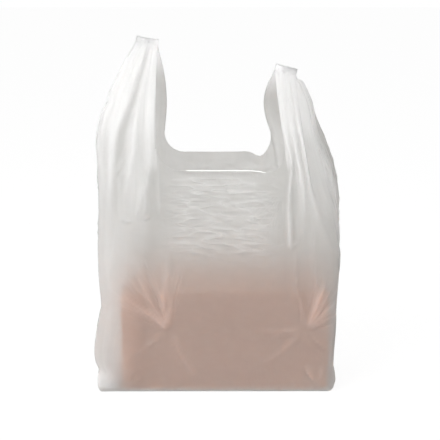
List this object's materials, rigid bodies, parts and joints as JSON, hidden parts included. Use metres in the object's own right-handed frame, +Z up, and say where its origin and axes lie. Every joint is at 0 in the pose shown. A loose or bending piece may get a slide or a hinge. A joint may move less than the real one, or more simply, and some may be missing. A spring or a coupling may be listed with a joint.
{
  "type": "plastic carrier bag",
  "caption": "Vest carrier bag of thin white translucent film standing open, with gathered welded handles and a plain brown carton inside.",
  "frame": {"origin": "on the surface that the bag stands on, midway between its outermost points", "axes": "+Z up, +X to the right seen from the front, and the front panel faces -Y"},
  "size_m": [0.3164, 0.1456, 0.4557],
  "materials": {
    "film": "thin translucent white film, softly glossy, finely creased",
    "carton": "plain brown board, matt"
  },
  "bodies": {
    "root": {"film_bag": "film", "packed_carton": "carton"}
  },
  "joints": []
}
